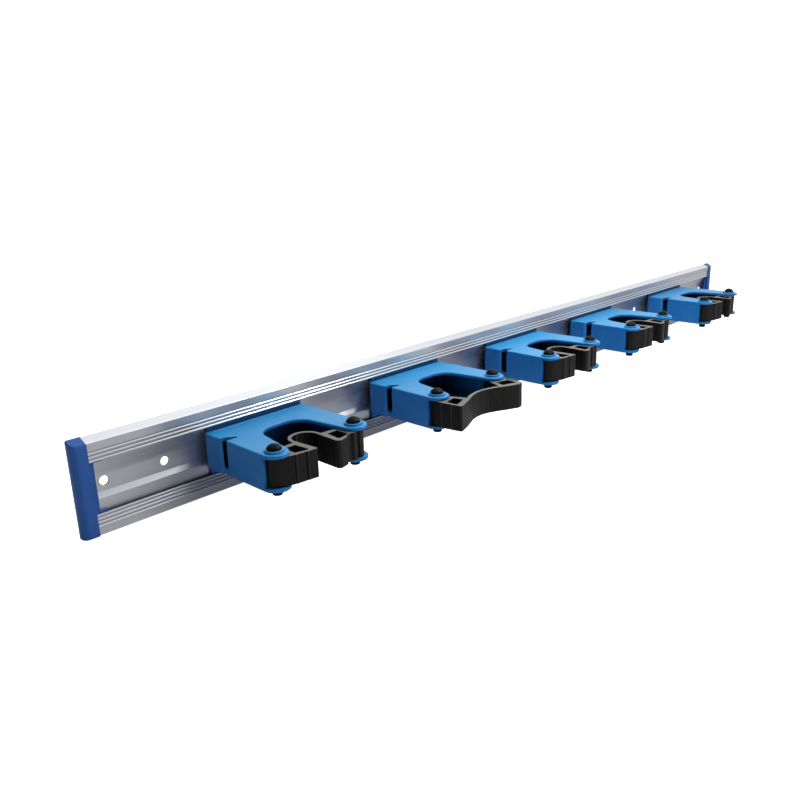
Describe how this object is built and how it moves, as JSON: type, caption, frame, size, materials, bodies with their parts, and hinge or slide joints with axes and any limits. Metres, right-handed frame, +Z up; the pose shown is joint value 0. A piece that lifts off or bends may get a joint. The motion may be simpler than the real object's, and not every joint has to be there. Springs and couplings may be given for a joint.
{
  "type": "wall mop holder rail",
  "caption": "Aluminium wall rail with sliding plastic holders, each gripping a mop or broom handle between hinged rubber jaws joined by a web.",
  "frame": {"origin": "on the wall plane, at the middle of the rail's length and level with the middle of the holders", "axes": "+X along the rail, to the right seen from the front; +Y into the wall; +Z up"},
  "size_m": [0.9216, 0.1039, 0.0685],
  "materials": {
    "rail": "satin anodised extrusion with fine lines along its length",
    "end_cap": "moulded navy blue plastic, soft gloss",
    "holder": "moulded blue plastic, soft gloss, with mould lines",
    "rubber": "moulded black rubber, matt, lighter on worn top edges",
    "pin": "glossy black domed plastic"
  },
  "bodies": {
    "rail": {"rail": "rail", "end_cap_left": "end_cap", "end_cap_right": "end_cap"},
    "holder_1": {"holder_body_1": "holder", "pivot_pin_left_1": "pin", "pivot_pin_right_1": "pin"},
    "jaw_left_1": {"grip_jaw_left_1": "rubber"},
    "web_left_1": {"grip_web_left_1": "rubber"},
    "jaw_right_1": {"grip_jaw_right_1": "rubber"},
    "web_right_1": {"grip_web_right_1": "rubber"},
    "holder_2": {"holder_body_2": "holder", "pivot_pin_left_2": "pin", "pivot_pin_right_2": "pin"},
    "jaw_left_2": {"grip_jaw_left_2": "rubber"},
    "web_left_2": {"grip_web_left_2": "rubber"},
    "jaw_right_2": {"grip_jaw_right_2": "rubber"},
    "web_right_2": {"grip_web_right_2": "rubber"},
    "holder_3": {"holder_body_3": "holder", "pivot_pin_left_3": "pin", "pivot_pin_right_3": "pin"},
    "jaw_left_3": {"grip_jaw_left_3": "rubber"},
    "web_left_3": {"grip_web_left_3": "rubber"},
    "jaw_right_3": {"grip_jaw_right_3": "rubber"},
    "web_right_3": {"grip_web_right_3": "rubber"},
    "holder_4": {"holder_body_4": "holder", "pivot_pin_left_4": "pin", "pivot_pin_right_4": "pin"},
    "jaw_left_4": {"grip_jaw_left_4": "rubber"},
    "web_left_4": {"grip_web_left_4": "rubber"},
    "jaw_right_4": {"grip_jaw_right_4": "rubber"},
    "web_right_4": {"grip_web_right_4": "rubber"},
    "holder_5": {"holder_body_5": "holder", "pivot_pin_left_5": "pin", "pivot_pin_right_5": "pin"},
    "jaw_left_5": {"grip_jaw_left_5": "rubber"},
    "web_left_5": {"grip_web_left_5": "rubber"},
    "jaw_right_5": {"grip_jaw_right_5": "rubber"},
    "web_right_5": {"grip_web_right_5": "rubber"}
  },
  "joints": [
    {"name": "holder_slide_1", "type": "slide", "parent": "rail", "child": "holder_1", "axis": [1, 0, 0], "range_m": [-0.077, 0.033]},
    {"name": "jaw_left_1", "type": "hinge", "parent": "holder_1", "child": "jaw_left_1", "pos_m": [-0.3546, -0.0745, 0], "axis": [0, 0, -1], "range_deg": [0, 75]},
    {"name": "jaw_right_1", "type": "hinge", "parent": "holder_1", "child": "jaw_right_1", "pos_m": [-0.2834, -0.0745, 0], "axis": [0, 0, 1], "range_deg": [0, 75]},
    {"name": "web_left_1", "type": "hinge", "parent": "jaw_left_1", "child": "web_left_1", "pos_m": [-0.33036, -0.0559, 0], "axis": [0, 0, 1], "range_deg": [0, 75], "deforming": ["grip_web_left_1"]},
    {"name": "web_right_1", "type": "hinge", "parent": "jaw_right_1", "child": "web_right_1", "pos_m": [-0.30764, -0.0559, 0], "axis": [0, 0, -1], "range_deg": [0, 75], "deforming": ["grip_web_right_1"]},
    {"name": "holder_slide_2", "type": "slide", "parent": "rail", "child": "holder_2", "axis": [1, 0, 0], "range_m": [-0.033, 0.03]},
    {"name": "jaw_left_2", "type": "hinge", "parent": "holder_2", "child": "jaw_left_2", "pos_m": [-0.1926, -0.0745, 0], "axis": [0, 0, -1], "range_deg": [-75, 0]},
    {"name": "jaw_right_2", "type": "hinge", "parent": "holder_2", "child": "jaw_right_2", "pos_m": [-0.1214, -0.0745, 0], "axis": [0, 0, 1], "range_deg": [-75, 0]},
    {"name": "web_left_2", "type": "hinge", "parent": "jaw_left_2", "child": "web_left_2", "pos_m": [-0.16836, -0.0931, 0], "axis": [0, 0, 1], "range_deg": [-75, 0], "deforming": ["grip_web_left_2"]},
    {"name": "web_right_2", "type": "hinge", "parent": "jaw_right_2", "child": "web_right_2", "pos_m": [-0.14564, -0.0931, 0], "axis": [0, 0, -1], "range_deg": [-75, 0], "deforming": ["grip_web_right_2"]},
    {"name": "holder_slide_3", "type": "slide", "parent": "rail", "child": "holder_3", "axis": [1, 0, 0], "range_m": [-0.03, 0.028]},
    {"name": "jaw_left_3", "type": "hinge", "parent": "holder_3", "child": "jaw_left_3", "pos_m": [-0.0361, -0.0745, 0], "axis": [0, 0, -1], "range_deg": [0, 75]},
    {"name": "jaw_right_3", "type": "hinge", "parent": "holder_3", "child": "jaw_right_3", "pos_m": [0.0351, -0.0745, 0], "axis": [0, 0, 1], "range_deg": [0, 75]},
    {"name": "web_left_3", "type": "hinge", "parent": "jaw_left_3", "child": "web_left_3", "pos_m": [-0.01186, -0.0559, 0], "axis": [0, 0, 1], "range_deg": [0, 75], "deforming": ["grip_web_left_3"]},
    {"name": "web_right_3", "type": "hinge", "parent": "jaw_right_3", "child": "web_right_3", "pos_m": [0.01086, -0.0559, 0], "axis": [0, 0, -1], "range_deg": [0, 75], "deforming": ["grip_web_right_3"]},
    {"name": "holder_slide_4", "type": "slide", "parent": "rail", "child": "holder_4", "axis": [1, 0, 0], "range_m": [-0.028, 0.04]},
    {"name": "jaw_left_4", "type": "hinge", "parent": "holder_4", "child": "jaw_left_4", "pos_m": [0.1159, -0.0745, 0], "axis": [0, 0, -1], "range_deg": [0, 75]},
    {"name": "jaw_right_4", "type": "hinge", "parent": "holder_4", "child": "jaw_right_4", "pos_m": [0.1871, -0.0745, 0], "axis": [0, 0, 1], "range_deg": [0, 75]},
    {"name": "web_left_4", "type": "hinge", "parent": "jaw_left_4", "child": "web_left_4", "pos_m": [0.14014, -0.0559, 0], "axis": [0, 0, 1], "range_deg": [0, 75], "deforming": ["grip_web_left_4"]},
    {"name": "web_right_4", "type": "hinge", "parent": "jaw_right_4", "child": "web_right_4", "pos_m": [0.16286, -0.0559, 0], "axis": [0, 0, -1], "range_deg": [0, 75], "deforming": ["grip_web_right_4"]},
    {"name": "holder_slide_5", "type": "slide", "parent": "rail", "child": "holder_5", "axis": [1, 0, 0], "range_m": [-0.04, 0.068]},
    {"name": "jaw_left_5", "type": "hinge", "parent": "holder_5", "child": "jaw_left_5", "pos_m": [0.2919, -0.0745, 0], "axis": [0, 0, -1], "range_deg": [0, 75]},
    {"name": "jaw_right_5", "type": "hinge", "parent": "holder_5", "child": "jaw_right_5", "pos_m": [0.3631, -0.0745, 0], "axis": [0, 0, 1], "range_deg": [0, 75]},
    {"name": "web_left_5", "type": "hinge", "parent": "jaw_left_5", "child": "web_left_5", "pos_m": [0.31614, -0.0559, 0], "axis": [0, 0, 1], "range_deg": [0, 75], "deforming": ["grip_web_left_5"]},
    {"name": "web_right_5", "type": "hinge", "parent": "jaw_right_5", "child": "web_right_5", "pos_m": [0.33886, -0.0559, 0], "axis": [0, 0, -1], "range_deg": [0, 75], "deforming": ["grip_web_right_5"]}
  ],
  "couplings": [
    {"joint": "jaw_right_1", "follows": "jaw_left_1", "ratio": 1},
    {"joint": "web_left_1", "follows": "jaw_left_1", "ratio": 1},
    {"joint": "web_right_1", "follows": "jaw_left_1", "ratio": 1},
    {"joint": "jaw_right_2", "follows": "jaw_left_2", "ratio": 1},
    {"joint": "web_left_2", "follows": "jaw_left_2", "ratio": 1},
    {"joint": "web_right_2", "follows": "jaw_left_2", "ratio": 1},
    {"joint": "jaw_right_3", "follows": "jaw_left_3", "ratio": 1},
    {"joint": "web_left_3", "follows": "jaw_left_3", "ratio": 1},
    {"joint": "web_right_3", "follows": "jaw_left_3", "ratio": 1},
    {"joint": "jaw_right_4", "follows": "jaw_left_4", "ratio": 1},
    {"joint": "web_left_4", "follows": "jaw_left_4", "ratio": 1},
    {"joint": "web_right_4", "follows": "jaw_left_4", "ratio": 1},
    {"joint": "jaw_right_5", "follows": "jaw_left_5", "ratio": 1},
    {"joint": "web_left_5", "follows": "jaw_left_5", "ratio": 1},
    {"joint": "web_right_5", "follows": "jaw_left_5", "ratio": 1}
  ]
}
